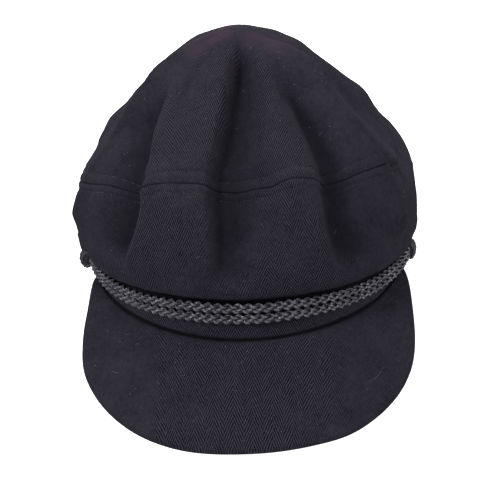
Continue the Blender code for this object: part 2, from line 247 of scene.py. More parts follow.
# Broad swells and dips where the soft cloth slouches: their middle, their reach in degrees and in share of
# the way up, and their height in metres
Slouch = namedtuple("Slouch", "place angle station turn rise height")
SLOUCHES = (
    Slouch("right shoulder", 115, 0.370, 17, 0.070, -0.0038),
    Slouch("right flank", 108, 0.235, 15, 0.055, 0.0024),
    Slouch("left shoulder", -110, 0.400, 18, 0.075, 0.0024),
    Slouch("left flank", -79, 0.245, 11, 0.080, -0.0016),
    Slouch("top right", 131, 0.800, 16, 0.060, 0.0012),
    Slouch("left hem", -80, 0.075, 14, 0.060, 0.0016),
    Slouch("right brow", 111, 0.475, 14, 0.050, 0.0018),
)

# How far the seam strays from its even height, as a share of the way from the rim to the apex
Stray = namedtuple("Stray", "angle shift")
SEAM_STRAYS = (
    Stray(-180, 0.000),
    Stray(-110, -0.010),
    Stray(-90, -0.040),
    Stray(-78, -0.038),
    Stray(-68, -0.022),
    Stray(-58, -0.004),
    Stray(-48, -0.002),
    Stray(-39, -0.008),
    Stray(-35, -0.006),
    Stray(-31, 0.002),
    Stray(-18, 0.002),
    Stray(-8, 0.012),
    Stray(-4, 0.014),
    Stray(2, 0.010),
    Stray(8, 0.006),
    Stray(13, -0.002),
    Stray(17, 0.004),
    Stray(28, 0.004),
    Stray(32, 0.000),
    Stray(40, -0.002),
    Stray(50, -0.002),
    Stray(62, -0.012),
    Stray(76, -0.028),
    Stray(90, -0.036),
    Stray(110, -0.012),
    Stray(140, 0.000),
)

# The crown seam, its two rows of stitches and the hem; SEAM_ROWS are rows of points, by their millimetres
# from the seam
SEAM_GAP = 0.00012
SEAM_TUCK = 0.0006
SEAM_WELT = 0.00022
ALLOWANCE_REACH = 0.0045
ALLOWANCE_GAP = 0.0004
ALLOWANCE_WALL = 0.0008
APEX_STATION = 0.992
SEAM_ROWS = (0.0, 0.15, 0.35, 0.6, 0.9, 1.25, 1.7, 2.3, 3.0, 3.8,
             4.6, 5.2, 5.7, 6.2, 6.7, 7.2, 7.9, 8.8, 10.0)
STITCH_RISE = 0.0055
STITCH_FALL = 0.0045
STITCH_PITCH = 0.0021
STITCH_LENGTH = 0.0016
STITCH_RADIUS = 0.00018
STITCH_DIP = 0.00035
HEM_RISE = 0.0042
HEM_DIP = 0.00030

# Unevenness of the cloth: height in metres, seed of its random waves, and their length in metres
Grain = namedtuple("Grain", "height seed length")
SEAM_PUCKER = Grain(0.00045, 3, 0.009)
HEM_PUCKER = Grain(0.00027, 5, 0.012)
CROWN_WAVES = Grain(0.0006, 11, 0.034)
CROWN_RIPPLES = Grain(0.00022, 12, 0.012)
BAND_RIPPLES = Grain(0.00022, 21, 0.022)
PEAK_DENTS = Grain(0.00035, 31, 0.045)
PEAK_RIPPLES = Grain(0.00008, 32, 0.010)

# Lint: how many pieces, their lengths and radii, and the ends of the long hairs, across and out on the peak
LINT_ON_CROWN = 200
LINT_ON_PEAK = 60
LINT_OFF_SEAM = 0.07
LINT_LENGTHS = (0.0004, 0.0005, 0.0006, 0.0008, 0.0016, 0.0034)
SPECK_LENGTH = 0.001
SPECK_RADIUS = 0.00015
HAIR_RADIUS = 0.00006
LONG_HAIR_RADIUS = 0.00009
LONG_HAIRS = (((0.47, 0.56), (0.74, 0.72)), ((-0.55, -0.51), (0.70, 0.66)))

# Herringbone: width of one stripe, the upright distance between its twill lines, and how the cloth is laid
STRIPE_WIDTH = 0.0051
TWILL_PITCH = 0.0023
TWILL_SLOPE = 1.73
YARN_PITCH = 0.00065
UV_METRES = 0.1
PEAK_CLOTH_STRETCH = 1.05
TOP_CLOTH_STRETCH = 0.75
TOP_CLOTH_SPREAD = 1.12
ROUND_METRES = 0.01

# Where the weave is painted faint, as light does not rake across it: between these angles at the sides of the
# crown, this far out on the peak; and the station from which a painted sheen lightens the crown's top
FLAT_LIGHT_LEFT_FROM = 42.0
FLAT_LIGHT_RIGHT_FROM = 26.0
FLAT_LIGHT_FADE = 24.0
FLAT_LIGHT_TO = 140.0
PEAK_FLAT_LIGHT_FROM = 0.036
PEAK_FLAT_LIGHT_FADE = 0.022
TOP_SHEEN_FROM = 0.74

# Colours
CLOTH_DARK = (0.0056, 0.0050, 0.0090)
CLOTH_LIGHT = (0.0470, 0.0440, 0.0600)
# A painted sheen, lighter and purplish, for the crown's top
CLOTH_TOP_SHEEN = (0.0500, 0.0300, 0.0440)
# Painted shade, for the bottoms of creases, under the crown's lip and hem, and at the joint with the peak
CLOTH_SHADOW = (0.0020, 0.0018, 0.0035)
YARN_DARK = (0.006, 0.006, 0.010)
YARN_LIGHT = (0.070, 0.067, 0.086)
# A painted highlight along the tops of the braid's strands
YARN_HIGHLIGHT = (0.160, 0.154, 0.190)
THREAD_DARK = (0.004, 0.004, 0.006)
THREAD_LIGHT = (0.018, 0.017, 0.024)
LINT_DARK = (0.05, 0.05, 0.065)
LINT_LIGHT = (0.24, 0.24, 0.30)
FLOOR_DARK = (0.86, 0.86, 0.87)
FLOOR_LIGHT = (0.88, 0.88, 0.88)
WHITE = (1, 1, 1, 1)

# Lights: place and size in metres, and power in watts, each turned to LIGHT_TARGET
Light = namedtuple("Light", "name place size power")
LIGHTS = (
    Light("key", (-1.4, -0.8, 1.4), 0.5, 33),
    Light("fill", (1.6, -0.2, 0.8), 0.9, 21),
    Light("top", (-0.3, 1.2, 1.4), 1.0, 25),
    Light("front", (-0.1, -1.9, 0.2), 0.9, 13),
)
LIGHT_TARGET = np.array([0.0, 0.0, 0.06])
WORLD_STRENGTH = 0.16

CROWN_MEAN_RADIUS = 0.094
UP = np.array([0.0, 0.0, 1.0])


# Smooth curves and tables


def curve_through(stations, values, at):
    """Values at the asked stations, on a smooth curve through the given ones."""
    stations = np.asarray(stations, float)
    values = np.asarray(values, float)
    slopes = np.gradient(values, stations)
    k = np.clip(np.searchsorted(stations, at, side="right") - 1, 0, len(stations) - 2)
    span = stations[k + 1] - stations[k]
    t = (at - stations[k]) / span
    start = values[k] * (2 * t**3 - 3 * t**2 + 1) + slopes[k] * span * (t**3 - 2 * t**2 + t)
    end = values[k + 1] * (3 * t**2 - 2 * t**3) + slopes[k + 1] * span * (t**3 - t**2)
    return start + end


def wrapped(angle):
    """The same angle between -180 and 180 degrees."""
    return (np.asarray(angle, float) + 180) % 360 - 180


def around(table, column, angle):
    """A column of a table of angles, on a smooth closed curve round the cap."""
    rows = [(row.angle + turn, getattr(row, column)) for turn in (-360, 0, 360) for row in table]
    stations, values = zip(*rows)
    return curve_through(stations, values, wrapped(angle))


def unit(vectors):
    return vectors / np.linalg.norm(vectors, axis=-1, keepdims=True)


def run_along(path):
    """Distance of each point of a line from its start."""
    return np.concatenate(([0.0], np.cumsum(np.linalg.norm(np.diff(path, axis=0), axis=1))))


def smooth_step(x):
    x = np.clip(x, 0, 1)
    return x * x * (3 - 2 * x)


def ripple(points, seed, wavelength, waves=14):
    """A smooth random height at each point, about 1 at most, from waves in random directions."""
    random = np.random.default_rng(seed)
    total = np.zeros(points.shape[:-1])
    for _ in range(waves):
        direction = unit(random.normal(size=3))
        length = wavelength * random.uniform(0.7, 1.6)
        total += np.sin(points @ direction * 2 * math.pi / length + random.uniform(0, 2 * math.pi))
    return total / math.sqrt(2 * waves)


def uneven(points, grain):
    return grain.height * ripple(points, grain.seed, grain.length)


# The crown


def profile_rows():
    """Height, half width, front and back of each section of the crown, from under its lip to its apex."""
    rows = []
    for height, out in ((0.25, 0.0), (0.0, 0.45), (0.45, 0.90), (1.5, 1.05)):
        reach = CLEARANCE + out * LIP_REACH
        ring = (BAND_HALF_WIDTH + reach, BAND_HALF_LENGTH + reach, BAND_HALF_LENGTH + reach)
        rows.append((LIP_HEIGHT + height * LIP_ROLL, *ring))
    for section in SECTIONS:
        across = section.half_width * BAND_HALF_WIDTH
        front = section.front * BAND_HALF_LENGTH
        back = section.back * BAND_HALF_LENGTH
        rows.append((section.height * CROWN_HEIGHT, across, front, back))
    return np.array(rows)


PROFILE = profile_rows()
LIP_ROWS = len(PROFILE) - len(SECTIONS)
SEAM_ROW = LIP_ROWS + [section.place for section in SECTIONS].index("seam")
PROFILE_RUN = run_along(PROFILE[:, :2])
PROFILE_LENGTH = PROFILE_RUN[-1]
STATIONS = PROFILE_RUN / PROFILE_LENGTH
SEAM_STATION = STATIONS[SEAM_ROW]
LIP_STATION = STATIONS[LIP_ROWS - 1]


def crown_base(angle, station):
    """Points of the crown before its folds."""
    height, across, front, back = (curve_through(STATIONS, PROFILE[:, k], station) for k in range(4))
    turn = np.radians(angle)
    high = smooth_step((station - LIP_STATION) / (SEAM_STATION - LIP_STATION))
    over = smooth_step((station - SEAM_STATION) / (1 - SEAM_STATION))
    droop = around(DROOPS, "lip", angle) * (1 - high) + around(DROOPS, "seam", angle) * high
    height = height - SIDE_DROOP * droop * (1 - over)
    middle = (back - front) / 2
    length = (back + front) / 2
    lean = CROWN_LEAN * np.sqrt(np.clip((station - LIP_STATION) / (1 - LIP_STATION), 0, 1))
    return np.stack([lean + across * np.sin(turn), middle - length * np.cos(turn), height], axis=-1)


def outward(point_at, angle, station):
    """Unit normals of a surface of angle and station, pointing out of the cap."""
    near = 1e-3
    round_way = point_at(angle + 0.5, station) - point_at(angle - 0.5, station)
    up_way = point_at(angle, np.minimum(station + near, 1)) - point_at(angle, np.maximum(station - near, 0))
    normal = np.cross(round_way, up_way)
    return normal / np.maximum(np.linalg.norm(normal, axis=-1, keepdims=True), 1e-12)


def fold_height(angle, station):
    """How far the folds raise or sink the crown's cloth."""
    height = np.zeros(angle.shape)
    for fold in FOLDS:
        along = np.clip((station - fold.start) / (fold.end - fold.start), 0, 1)
        middle = fold.foot + (fold.head - fold.foot) * along
        off = wrapped(angle - middle)
        reach = np.where(off < 0, fold.left, fold.right)
        near = np.exp(-((off / reach) ** 2))
        height = height + fold.depth * FOLD_DEPTH * near * np.sin(math.pi * along) ** 0.7
    return height


def mean_radius(station):
    """Half the crown's mean width at a station."""
    half = (PROFILE[:, 1] + (PROFILE[:, 2] + PROFILE[:, 3]) / 2) / 2
    return np.maximum(curve_through(STATIONS, half, station), 0.004)


def crease_height(angle, station):
    """How far the creases of the front raise or sink the cloth."""
    radius = mean_radius(station)
    widen = np.minimum(radius / CROWN_MEAN_RADIUS, 1) ** 0.4
    height = np.zeros(angle.shape)
    for crease in CREASES:
        stations, angles = zip(*crease.path)
        middle = curve_through(stations, angles, np.clip(station, stations[0], stations[-1]))
        off = np.radians(wrapped(angle - middle)) * radius / widen
        left = np.exp(-((np.maximum(-off, 0) / crease.left) ** crease.left_fall))
        right = np.exp(-((np.maximum(off, 0) / crease.right) ** crease.right_fall))
        fade = smooth_step((station - crease.start) / CREASE_FADE)
        fade = fade * smooth_step((crease.end - station) / (2 * CREASE_FADE))
        height = height + crease.depth * fade * np.where(off < 0, left, right)
    return height


def slouch_height(angle, station):
    height = np.zeros(angle.shape)
    for slouch in SLOUCHES:
        off = wrapped(angle - slouch.angle)
        near = np.exp(-((off / slouch.turn) ** 2) - ((station - slouch.station) / slouch.rise) ** 2)
        height = height + slouch.height * near
    return height


def seam_station(angle):
    return SEAM_STATION + around(SEAM_STRAYS, "shift", angle)


def seam_relief(rise):
    """Height of the cloth by its rise over the seam: a tuck there, a soft welt and a dip at the stitches."""
    distance = np.abs(rise)
    stitches = np.where(rise > 0, STITCH_RISE, STITCH_FALL)
    tuck = -SEAM_TUCK * np.exp(-((distance / 0.0004) ** 2))
    welt = SEAM_WELT * np.exp(-(((distance - 0.0026) / 0.0016) ** 2))
    dip = -STITCH_DIP * np.exp(-(((distance - stitches) / 0.0009) ** 2))
    return tuck + welt + dip


def crown_relief(angle, station, points):
    """Fine relief of the crown: seams, puckers and the cloth's own unevenness."""
    rise = (station - seam_station(angle)) * PROFILE_LENGTH
    distance = np.abs(rise)
    relief = seam_relief(rise)
    girth = np.stack([points[..., 0], points[..., 1], 0 * points[..., 2]], axis=-1)
    near_seam = np.exp(-(((distance - 0.003) / 0.006) ** 2))
    above_lip = (station - LIP_STATION) * PROFILE_LENGTH
    near_hem = np.exp(-((above_lip / 0.007) ** 2))
    relief = relief + near_seam * uneven(girth, SEAM_PUCKER) + near_hem * uneven(girth, HEM_PUCKER)
    relief = relief - HEM_DIP * np.exp(-(((above_lip - HEM_RISE) / 0.0005) ** 2))
    body = smooth_step((station - LIP_STATION) / 0.10)
    return relief + body * (uneven(points, CROWN_WAVES) + uneven(points, CROWN_RIPPLES))


def crown_folded(angle, station):
    """Points of the crown with its folds and no fine relief."""
    angle, station = np.broadcast_arrays(np.asarray(angle, float), np.asarray(station, float))
    lift = fold_height(angle, station) + crease_height(angle, station) + slouch_height(angle, station)
    lift = lift[..., None]
    return crown_base(angle, station) + outward(crown_base, angle, station) * lift


def crown_surface(angle, station):
    """Points of the crown's outside, and its unit normals."""
    angle, station = np.broadcast_arrays(np.asarray(angle, float), np.asarray(station, float))
    folded = crown_folded(angle, station)
    normal = outward(crown_folded, angle, station)
    return folded + normal * crown_relief(angle, station, folded)[..., None], normal


# The band, the peak and the floor


def rest_slope():
    return (REST_FLAT + PEAK_DROP) / (2 * BAND_HALF_LENGTH + PEAK_REACH)


def floor_height(y):
    """Height of the floor in the band's frame."""
    return REST_FLAT + rest_slope() * (y - BAND_HALF_LENGTH)


class Stand:
    """Carries points from the band's frame to the resting cap's place, found from the mount at its back."""

    def __init__(self):
        tilt = -math.atan(rest_slope())
        self.turn = np.array(Matrix.Rotation(tilt, 3, "X"))
        mounts = {mount["name"]: mount for mount in frame["record"]["mounts"]}
        seat_y = BAND_HALF_LENGTH - BAND_WALL / 2
        seat = self.turn @ np.array([0.0, seat_y, floor_height(seat_y)])
        self.shift = np.array(mounts["rest_back"]["pos_m"]) - seat

    def place(self, points):
        return np.asarray(points) @ self.turn.T + self.shift

    def aim(self, direction):
        return self.turn @ np.asarray(direction, float)


def band_outward(angle):
    """Unit directions straight out of the band."""
    turn = np.radians(angle)
    x = BAND_HALF_LENGTH * np.sin(turn)
    y = -BAND_HALF_WIDTH * np.cos(turn)
    return unit(np.stack([x, y, 0 * turn], axis=-1))


def peak_edge(angle):
    turn = np.radians(angle)
    middle = PEAK_ARC_LENGTH - PEAK_REACH - BAND_HALF_LENGTH
    return np.stack([PEAK_HALF_WIDTH * np.sin(turn), middle - PEAK_ARC_LENGTH * np.cos(turn)], axis=-1)


def outside_band(point):
    share = math.hypot(point[0] / BAND_HALF_WIDTH, point[1] / BAND_HALF_LENGTH)
    return (share - 1) * BAND_HALF_WIDTH


def peak_end_angle():
    """Where the peak's edge comes within PEAK_END of the band, found by halving."""
    low, high = 90.0, 150.0
    for _ in range(40):
        middle = (low + high) / 2
        if outside_band(peak_edge(middle)) > PEAK_END:
            low = middle
        else:
            high = middle
    return low


def front_dip(angle):
    """How far the band and the peak's seat hang below their even height at the front."""
    return FRONT_DIP * (1 - smooth_step(np.abs(angle) / FRONT_DIP_TURN))


def peak_layer(across, out):
    """Middle points of the peak's thickness: across from -1 to 1 round it, out from 0 at the band to 1."""
    end = peak_end_angle()
    tip = peak_edge(end)
    foot_end = math.degrees(math.atan2(tip[0] / BAND_HALF_WIDTH, -tip[1] / BAND_HALF_LENGTH))
    turn = np.radians(across * foot_end)
    seat_x = (BAND_HALF_WIDTH - PEAK_TUCK) * np.sin(turn)
    seat_y = -(BAND_HALF_LENGTH - PEAK_TUCK) * np.cos(turn)
    edge = peak_edge(across * end)
    from_band = unit(edge - np.stack([seat_x, seat_y], axis=-1))
    edge = edge + from_band * around(PEAK_SWELLS, "swell", across * end)[..., None]
    raised = smooth_step((np.abs(across * end) - PEAK_FLAT_TURN) / (end - PEAK_FLAT_TURN))
    edge_height = floor_height(edge[..., 1]) * (1 - raised)
    length = np.hypot(edge[..., 0] - seat_x, edge[..., 1] - seat_y)
    x = seat_x + (edge[..., 0] - seat_x) * out
    y = seat_y + (edge[..., 1] - seat_y) * out
    bulge = PEAK_BULGE * 4 * out * (1 - out) * np.minimum(1, length / PEAK_REACH)
    seat = PEAK_SEAT - PEAK_WALL - front_dip(across * foot_end)
    rise = np.where(across < 0, PEAK_RISE_LEFT, PEAK_RISE_RIGHT)
    rise = rise * smooth_step((np.abs(across * end) - PEAK_RISE_TURN) / (end - PEAK_RISE_TURN))
    below = seat * (1 - out) + edge_height * out + bulge + rise
    return np.stack([x, y, below + PEAK_WALL / 2], axis=-1), length


# The braid


def braid_fall(angle):
    """How far the braid has come down from its flat front to its knots, from 0 to 1."""
    return smooth_step((np.abs(angle) - BRAID_FLAT_TURN) / (KNOT_TURN - BRAID_FLAT_TURN)) ** BRAID_HASTE


def braid_height(angle):
    return BRAID_HEIGHT - BRAID_SINK * braid_fall(angle)


def braid_end_turn():
    return KNOT_TURN - math.degrees((KNOT_HALF_WIDTH + 2 * CLEARANCE) / BAND_HALF_WIDTH)


def braid_line(angle, side):
    """Centre points of a row of braid, and how narrow it is there."""
    turn = np.radians(angle)
    out = CLEARANCE + BRAID_THICKNESS / 2
    narrow = 1 - (1 - BRAID_TAPER) * braid_fall(angle)
    height = braid_height(angle) + side * BRAID_SPACING / 2 * narrow
    x = (BAND_HALF_WIDTH + out) * np.sin(turn)
    y = -(BAND_HALF_LENGTH + out) * np.cos(turn)
    return np.stack([x, y, height], axis=-1), narrow


# Meshes


def grid_quads(rows, columns, wraps, first=0):
    """Quads of a grid of points, row by row."""
    across = columns if wraps else columns - 1
    row, column = np.meshgrid(np.arange(rows - 1), np.arange(across), indexing="ij")
    here = row * columns + column
    after = row * columns + (column + 1) % columns
    return first + np.stack([here, after, after + columns, here + columns], axis=-1).reshape(-1, 4)


def add_object(name, data):
    item = bpy.data.objects.new(name, data)
    bpy.context.collection.objects.link(item)
    return item


def add_mesh(name, points, faces, uv, material):
    """A smooth-shaded object; uv holds a pair for each point, in metres of cloth."""
    mesh = bpy.data.meshes.new(name)
    mesh.from_pydata(np.asarray(points).tolist(), [], [list(face) for face in faces])
    layer = mesh.uv_layers.new(name="cloth")
    corners = np.empty(len(mesh.loops), dtype=np.int64)
    mesh.loops.foreach_get("vertex_index", corners)
    layer.data.foreach_set("uv", (np.asarray(uv)[corners] / UV_METRES).astype(np.float32).ravel())
    mesh.shade_smooth()
    mesh.materials.append(material)
    return add_object(name, mesh)


def turn_out(piece):
    shape = bmesh.new()
    shape.from_mesh(piece.data)
    bmesh.ops.recalc_face_normals(shape, faces=shape.faces)
    shape.to_mesh(piece.data)
    shape.free()


def add_wall(name, outside, inside, uv, material, wraps=True, poles=None):
    """A closed cloth wall between two grids of points."""
    rows, columns, _ = outside.shape
    count = rows * columns
    points = np.concatenate([outside.reshape(-1, 3), inside.reshape(-1, 3)])
    coordinates = np.concatenate([uv.reshape(-1, 2)] * 2)
    faces = grid_quads(rows, columns, wraps).tolist()
    faces += [face[::-1] for face in grid_quads(rows, columns, wraps, count).tolist()]
    loop = list(range(columns)) + ([0] if wraps else [])
    foot = list(zip(loop, loop[1:]))
    faces += [(a + count, b + count, b, a) for a, b in foot]
    head = [(a + count - columns, b + count - columns) for a, b in foot]
    if poles is None:
        faces += [(a, b, b + count, a + count) for a, b in head]
    else:
        points = np.concatenate([points, poles])
        coordinates = np.concatenate([coordinates, np.zeros((2, 2))])
        faces += [(a, b, 2 * count) for a, b in head]
        faces += [(b + count, a + count, 2 * count + 1) for a, b in head]
    if not wraps:
        for edge in (0, columns - 1):
            line = [row * columns + edge for row in range(rows)]
            faces += [(a, b, b + count, a + count) for a, b in zip(line, line[1:])]
    piece = add_mesh(name, stand.place(points), faces, coordinates, material)
    turn_out(piece)
    return piece


def tube(path, normal, wide, thick, sides, closed=False):
    """Oval rings of points round a path on a surface, wide along the surface and thick along its normals."""
    if closed:
        ahead = unit(np.roll(path, -1, axis=0) - np.roll(path, 1, axis=0))
    else:
        ahead = unit(np.gradient(path, axis=0))
    side = unit(np.cross(ahead, normal))
    out = np.cross(side, ahead)
    turn = np.radians(np.arange(sides) * 360 / sides)
    wide_part = np.cos(turn)[:, None] * (np.broadcast_to(wide, len(path))[:, None] * side)[:, None, :]
    thick_part = np.sin(turn)[:, None] * (np.broadcast_to(thick, len(path))[:, None] * out)[:, None, :]
    return path[:, None, :] + wide_part + thick_part


def join_tubes(name, tubes, material, closed=False):
    """One object from several tubes of rings, each closed by a face at its ends."""
    points = []
    faces = []
    uv = []
    first = 0
    for rings in tubes:
        rows, columns, _ = rings.shape
        run = run_along(rings[:, 0])
        points.append(rings.reshape(-1, 3))
        faces += grid_quads(rows, columns, True, first).tolist()
        start = list(range(first, first + columns))
        end = list(range(first + (rows - 1) * columns, first + rows * columns))
        if closed:
            after = start[1:] + start[:1]
            end_after = end[1:] + end[:1]
            faces += list(zip(end, end_after, after, start))
        else:
            faces += [start[::-1], end]
        round_way = np.arange(columns) / columns * ROUND_METRES
        pair = np.stack(np.meshgrid(run, round_way, indexing="ij"), axis=-1)
        uv.append(pair.reshape(-1, 2))
        first += rows * columns
    piece = add_mesh(name, stand.place(np.concatenate(points)), faces, np.concatenate(uv), material)
    turn_out(piece)
    return piece


# Materials


class Nodes:
    """A material's node tree, with a short way to add a node and link its inputs."""

    def __init__(self, name):
        self.material = bpy.data.materials.new(name)
        self.material.use_nodes = True
        self.tree = self.material.node_tree
        self.shader = self.tree.nodes["Principled BSDF"]

    def add(self, kind, *inputs, **settings):
        node = self.tree.nodes.new(kind)
        for key, value in settings.items():
            setattr(node, key, value)
        for socket, value in zip(node.inputs, inputs):
            self.feed(socket, value)
        return node.outputs[0]

    def feed(self, socket, value):
        if isinstance(value, bpy.types.NodeSocket):
            self.tree.links.new(value, socket)
        elif value is not None:
            socket.default_value = value

    def attribute(self, name):
        """A number kept on the mesh by mark."""
        node = self.tree.nodes.new("ShaderNodeAttribute")
        node.attribute_name = name
        return node.outputs["Fac"]

    def math(self, operation, *inputs):
        return self.add("ShaderNodeMath", *inputs, operation=operation)

    def times(self, *inputs):
        return self.math("MULTIPLY", *inputs)

    def plus(self, *inputs):
        return self.math("ADD", *inputs)

    def times_plus(self, *inputs):
        return self.math("MULTIPLY_ADD", *inputs)

    def surface(self, name, value):
        self.feed(self.shader.inputs[name], value)

    def wave(self, phase):
        """A smooth wave from 0 to 1 of a phase counted in turns."""
        sine = self.math("SINE", self.times(phase, 2 * math.pi))
        return self.times_plus(sine, 0.5, 0.5)

    def ramp(self, value, low, high):
        """A smooth step of a value between two limits."""
        node = self.tree.nodes.new("ShaderNodeMapRange")
        node.interpolation_type = "SMOOTHSTEP"
        self.feed(node.inputs["Value"], value)
        node.inputs["From Min"].default_value = low
        node.inputs["From Max"].default_value = high
        return node.outputs["Result"]

    def noise(self, vector, scale, detail=2.0, rough=0.5):
        node = self.tree.nodes.new("ShaderNodeTexNoise")
        self.feed(node.inputs["Vector"], vector)
        node.inputs["Scale"].default_value = scale
        node.inputs["Detail"].default_value = detail
        node.inputs["Roughness"].default_value = rough
        return node.outputs["Fac"]

    def colours(self, share, dark, light):
        """A colour between two, by a share from 0 to 1."""
        node = self.tree.nodes.new("ShaderNodeMix")
        node.data_type = "RGBA"
        self.feed(node.inputs[0], share)
        for socket, colour in ((node.inputs[6], dark), (node.inputs[7], light)):
            self.feed(socket, (*colour, 1) if isinstance(colour, tuple) else colour)
        return node.outputs[2]

    def bump(self, height, strength, distance, normal=None):
        node = self.tree.nodes.new("ShaderNodeBump")
        node.inputs["Strength"].default_value = strength
        node.inputs["Distance"].default_value = distance
        self.feed(node.inputs["Height"], height)
        if normal is not None:
            self.feed(node.inputs["Normal"], normal)
        return node.outputs["Normal"]


def twill_lines(nodes, across, along, solid):
    """Slanting lines that turn back at each stripe, and waver a little."""
    stripes = nodes.times(across, UV_METRES / STRIPE_WIDTH)
    lines = nodes.times(along, UV_METRES / TWILL_PITCH)
    zigzag = nodes.math("PINGPONG", stripes, 1.0)
    broken = nodes.math("FLOORED_MODULO", nodes.math("FLOOR", stripes), 2.0)
    slant = nodes.times(zigzag, TWILL_SLOPE * STRIPE_WIDTH / TWILL_PITCH)
    phase = nodes.plus(nodes.math("SUBTRACT", lines, slant), nodes.times(broken, 0.5))
    phase = nodes.plus(phase, nodes.times(nodes.noise(solid, 260.0, 1.0), 0.35))
    return nodes.ramp(nodes.wave(phase), 0.46, 0.96)


def single_yarns(nodes, across, along):
    yarn_across = nodes.wave(nodes.times(across, UV_METRES / YARN_PITCH))
    yarn_along = nodes.wave(nodes.times(along, UV_METRES / YARN_PITCH))
    return nodes.times(yarn_across, yarn_along)


def weave_strength(nodes, solid, plain):
    """How clearly the twill shows: in patches, with small breaks, and least where it is painted faint."""
    clear = nodes.ramp(nodes.noise(solid, 28.0, 1.0), 0.36, 0.60)
    breaks = nodes.ramp(nodes.noise(solid, 900.0, 1.0), 0.38, 0.62)
    crisp = nodes.times_plus(clear, 0.60, 0.35)
    crisp = nodes.times(crisp, nodes.times_plus(breaks, 1.1, 0.45))
    return nodes.times(crisp, nodes.times_plus(plain, -0.85, 1.0))


def herringbone(name):
    """Dark herringbone twill: slanting lines, single yarns, flecks, fuzz and a little sheen, with painted
    shade, a painted sheen on the crown's top, and the weave painted faint where light does not rake across
    it.
    """
    nodes = Nodes(name)
    place = nodes.add("ShaderNodeTexCoord").node
    solid = place.outputs["Object"]
    parts = nodes.add("ShaderNodeSeparateXYZ", place.outputs["UV"]).node
    twill = twill_lines(nodes, parts.outputs[0], parts.outputs[1], solid)
    yarn = single_yarns(nodes, parts.outputs[0], parts.outputs[1])
    # Where the twill's lines are painted faint, as light does not rake across them
    plain = nodes.attribute("plain")
    crisp = weave_strength(nodes, solid, plain)
    soft = nodes.times_plus(crisp, -0.40, 0.34)
    share = nodes.times_plus(twill, crisp, nodes.times_plus(yarn, 0.12, soft))
    flecks = nodes.ramp(nodes.noise(solid, 1500.0, 1.0), 0.62, 0.74)
    share = nodes.plus(share, nodes.times(flecks, nodes.times_plus(plain, -0.45, 0.60)))
    fuzz = nodes.noise(solid, 2600.0, 3.0, 0.65)
    patch = nodes.noise(solid, 420.0, 2.0)
    blotch = nodes.noise(solid, 70.0, 2.0)
    for noise, strength in ((fuzz, 0.80), (patch, 0.45), (blotch, 0.35)):
        share = nodes.plus(share, nodes.times(nodes.math("SUBTRACT", noise, 0.5), strength))
    cloth = nodes.colours(share, CLOTH_DARK, CLOTH_LIGHT)
    # Painted sheen: the crown's top made lighter and purplish in patches
    faded = nodes.times(nodes.attribute("faded"), nodes.ramp(nodes.noise(solid, 45.0, 1.0), 0.42, 0.58))
    cloth = nodes.colours(nodes.times(faded, 0.55), cloth, CLOTH_TOP_SHEEN)
    # The hollow mark is painted shade: darker in creases, under the crown's lip and hem, and at the peak's
    # joint
    shade = nodes.times(nodes.attribute("hollow"), PAINTED_SHADE_STRENGTH)
    nodes.surface("Base Color", nodes.colours(shade, cloth, CLOTH_SHADOW))
    normal = nodes.bump(fuzz, 0.35, 0.0004)
    normal = nodes.bump(nodes.times_plus(yarn, 0.35, twill), 0.40, 0.0003, normal)
    nodes.surface("Normal", normal)
    nodes.surface("Roughness", nodes.times_plus(fuzz, 0.2, 0.78))
    nodes.surface("Specular IOR Level", 0.06)
    nodes.surface("Sheen Weight", 0.035)
    nodes.surface("Sheen Roughness", 0.45)
    nodes.surface("Sheen Tint", (0.80, 0.76, 0.90, 1))
    return nodes.material


def yarn_material(name, dark, light, plies, twist, gloss):
    """Twisted yarn: plies that wind round each strand, with a painted highlight where a strand stands
    highest.
    """
    nodes = Nodes(name)
    place = nodes.add("ShaderNodeTexCoord").node
    parts = nodes.add("ShaderNodeSeparateXYZ", place.outputs["UV"]).node
    along = nodes.times(parts.outputs[0], UV_METRES / twist)
    round_way = nodes.times(parts.outputs[1], UV_METRES / ROUND_METRES * plies)
    ply = nodes.wave(nodes.plus(along, round_way))
    fuzz = nodes.noise(place.outputs["Object"], 2400.0, 2.0)
    share = nodes.times_plus(ply, 0.7, nodes.times(fuzz, 0.4))
    # Painted highlight, from the mark made in plait
    rubbed = nodes.times(nodes.attribute("rubbed"), nodes.times_plus(share, 0.5, 0.45))
    nodes.surface("Base Color", nodes.colours(rubbed, nodes.colours(share, dark, light), YARN_HIGHLIGHT))
    nodes.surface("Normal", nodes.bump(ply, 0.6, 0.00025, nodes.bump(fuzz, 0.25, 0.0002)))
    nodes.surface("Roughness", gloss)
    nodes.surface("Specular IOR Level", 0.55)
    nodes.surface("Sheen Weight", 0.15)
    nodes.surface("Sheen Roughness", 0.4)
    return nodes.material


def matt_nodes(name, grain, dark, light):
    """The nodes of a simple matt material, mottled between two colours."""
    nodes = Nodes(name)
    place = nodes.add("ShaderNodeTexCoord").node
    fuzz = nodes.noise(place.outputs["Object"], grain)
    nodes.surface("Base Color", nodes.colours(fuzz, dark, light))
    nodes.surface("Roughness", 0.9)
    return nodes


# Pieces


def crown_rows(seam, limit):
    """Stations of each column from its seam to a limit above or below it, close together beside the seam."""
    beside = (np.array(SEAM_ROWS) / 1000 + SEAM_GAP) / PROFILE_LENGTH
    way = math.copysign(1, limit - SEAM_STATION)
    count = int((abs(limit - SEAM_STATION) - beside[-1]) * PROFILE_LENGTH / CROWN_ROW_STEP)
    near_seam = seam + way * beside[:, None]
    share = np.linspace(0, 1, count)[1:, None]
    return np.concatenate([near_seam, near_seam[-1] + (limit - near_seam[-1]) * share])


def crown_grid(stations):
    angles = np.broadcast_to(crown_angles(), stations.shape)
    outside, normal = crown_surface(angles, stations)
    return angles, outside, outside - normal * CROWN_WALL


